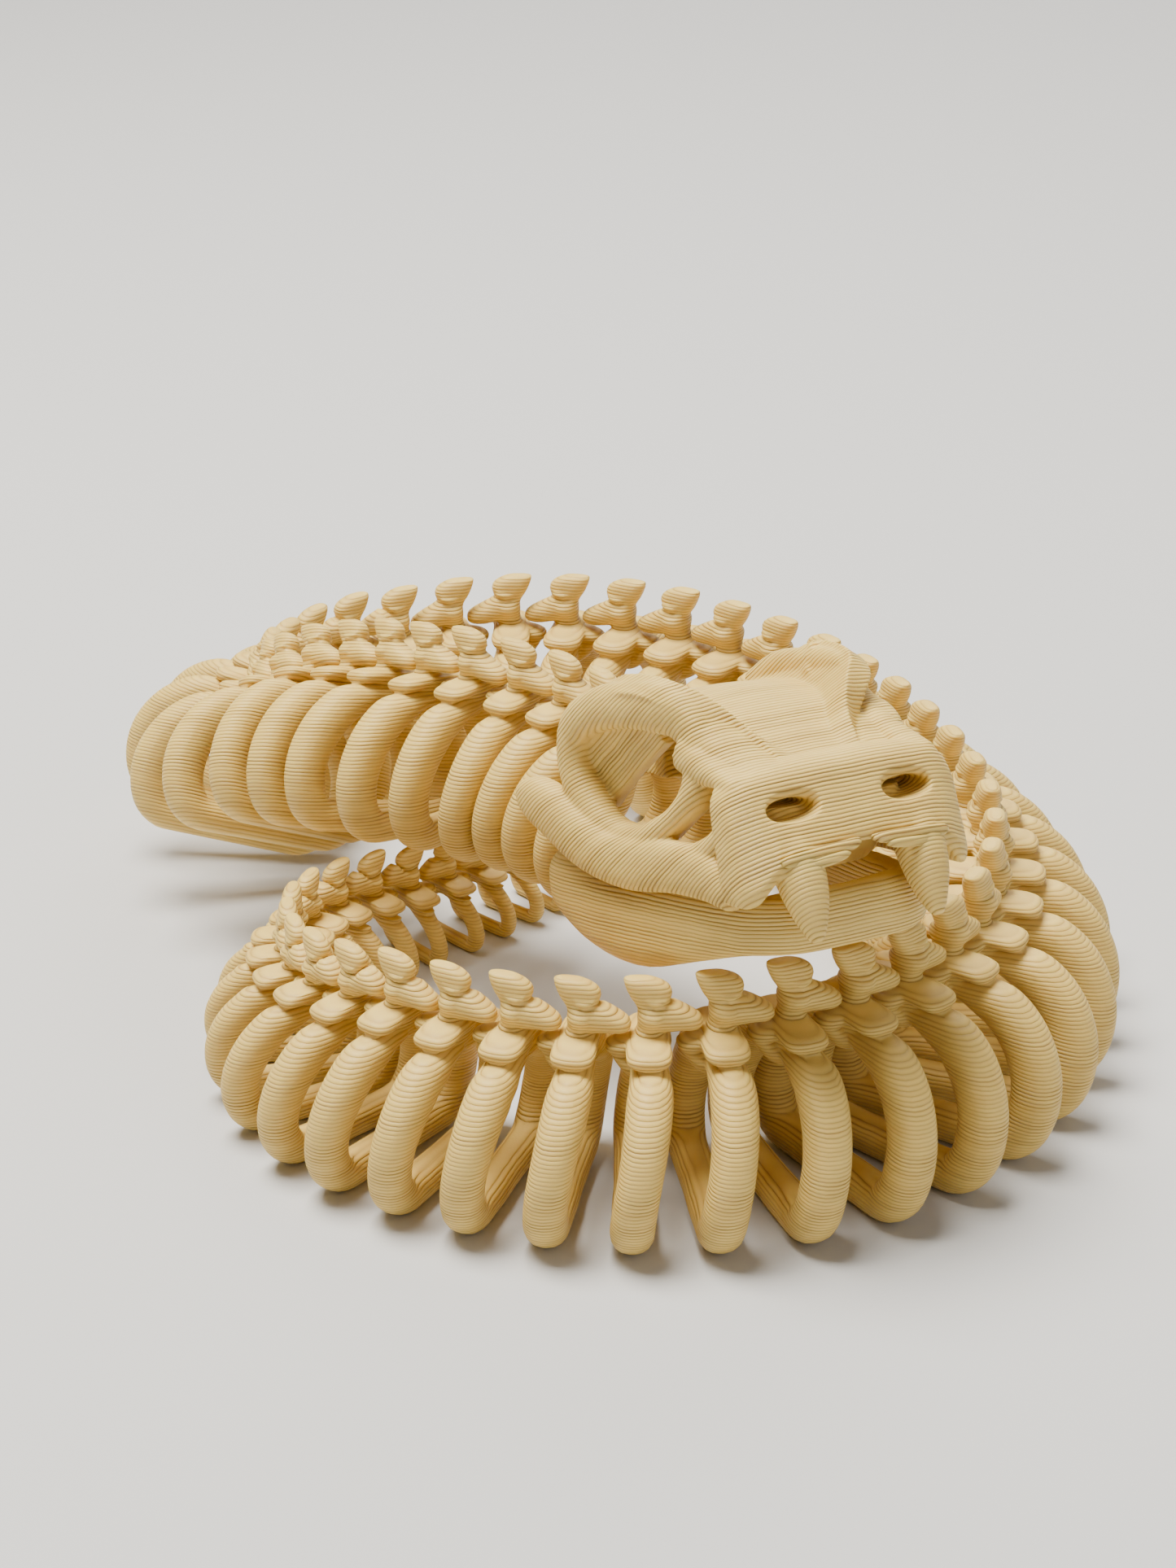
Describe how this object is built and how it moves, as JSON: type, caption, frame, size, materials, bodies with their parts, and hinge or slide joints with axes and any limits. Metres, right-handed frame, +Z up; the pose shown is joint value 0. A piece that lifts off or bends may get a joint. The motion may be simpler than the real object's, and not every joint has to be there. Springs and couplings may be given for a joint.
{
  "type": "toy snake skeleton",
  "caption": "Printed toy skeleton of a snake, coiled on a table: a fanged skull and jaw on a long body of hooked, ring-ribbed links.",
  "frame": {"origin": "on the floor, under the middle of the coiled toy", "axes": "+Z up, -Y towards the viewer whom the open end of the coil faces, +X to that viewer's right; the coil is longest along Y"},
  "size_m": [0.0561, 0.0666, 0.0256],
  "materials": {
    "bone_plastic": "matte, with fine printing layers"
  },
  "bodies": {
    "root": {"jaw": "bone_plastic", "link_01": "bone_plastic", "link_02": "bone_plastic", "link_03": "bone_plastic", "link_04": "bone_plastic", "link_05": "bone_plastic", "link_06": "bone_plastic", "link_07": "bone_plastic", "link_08": "bone_plastic", "link_09": "bone_plastic", "link_10": "bone_plastic", "link_11": "bone_plastic", "link_12": "bone_plastic", "link_13": "bone_plastic", "link_14": "bone_plastic", "link_15": "bone_plastic", "link_16": "bone_plastic", "link_17": "bone_plastic", "link_18": "bone_plastic", "link_19": "bone_plastic", "link_20": "bone_plastic", "link_21": "bone_plastic", "link_22": "bone_plastic", "link_23": "bone_plastic", "link_24": "bone_plastic", "link_25": "bone_plastic", "link_26": "bone_plastic", "link_27": "bone_plastic", "link_28": "bone_plastic", "link_29": "bone_plastic", "link_30": "bone_plastic", "link_31": "bone_plastic", "link_32": "bone_plastic", "link_33": "bone_plastic", "link_34": "bone_plastic", "link_35": "bone_plastic", "link_36": "bone_plastic", "link_37": "bone_plastic", "link_38": "bone_plastic", "link_39": "bone_plastic", "link_40": "bone_plastic", "link_41": "bone_plastic", "link_42": "bone_plastic", "link_43": "bone_plastic", "link_44": "bone_plastic", "link_45": "bone_plastic", "link_46": "bone_plastic", "link_47": "bone_plastic", "link_48": "bone_plastic", "link_49": "bone_plastic", "link_50": "bone_plastic", "link_51": "bone_plastic", "link_52": "bone_plastic", "link_53": "bone_plastic", "link_54": "bone_plastic", "link_55": "bone_plastic", "link_56": "bone_plastic", "link_57": "bone_plastic", "link_58": "bone_plastic", "skull": "bone_plastic"}
  },
  "joints": []
}
